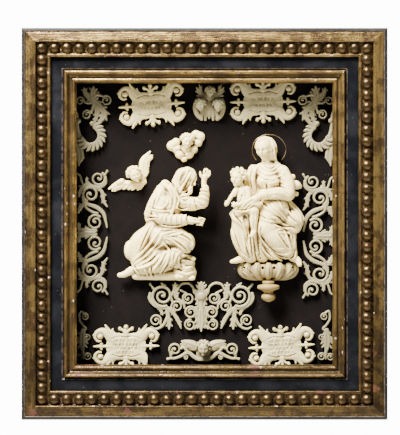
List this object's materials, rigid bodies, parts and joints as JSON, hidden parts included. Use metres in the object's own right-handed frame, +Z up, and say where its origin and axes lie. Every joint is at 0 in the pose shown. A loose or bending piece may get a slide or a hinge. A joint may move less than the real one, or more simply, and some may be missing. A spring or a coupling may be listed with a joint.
{
  "type": "framed ivory madonna and child relief",
  "caption": "Carved ivory mother and child, kneeling man, winged heads, scrolls and shields on dark velvet in a deep ebonised and gilt beaded frame",
  "frame": {"origin": "middle of the backboard's back face, which hangs on the wall", "axes": "+Y points back into the wall, +Z up, +X to the viewer's right; the front faces -Y"},
  "size_m": [0.47, 0.059, 0.503],
  "materials": {
    "gilt": "worn gilding over red bole on carved wood",
    "ebonised": "black stained satin",
    "ivory": "carved ivory with yellow patina",
    "velvet": "dark velvet glued over board",
    "collar": "turned, stained brown",
    "backing": "bare board",
    "gilt_wire": "drawn wire"
  },
  "bodies": {
    "root": {"frame_rail_top": "gilt", "slip_top": "gilt", "box_side_top": "ebonised", "frame_rail_bottom": "gilt", "slip_bottom": "gilt", "box_side_bottom": "ebonised", "frame_rail_left": "gilt", "slip_left": "gilt", "box_side_left": "ebonised", "frame_rail_right": "gilt", "slip_right": "gilt", "box_side_right": "ebonised", "backboard": "backing", "velvet_ground": "velvet", "madonna_and_child": "ivory", "kneeling_man": "ivory", "corbel": "ivory", "centre_scroll": "ivory", "cartouche_top_left": "ivory", "cartouche_top_right": "ivory", "cartouche_bottom_left": "ivory", "cartouche_bottom_right": "ivory", "vine_right": "ivory", "vine_left": "ivory", "garland_right": "ivory", "garland_left": "ivory", "small_strip_right": "ivory", "small_strip_left": "ivory", "cherub_left": "ivory", "cherub_cloud": "ivory", "cherub_top": "ivory", "cherub_bottom": "ivory", "corbel_pendant": "collar", "halo": "gilt_wire"}
  },
  "joints": []
}
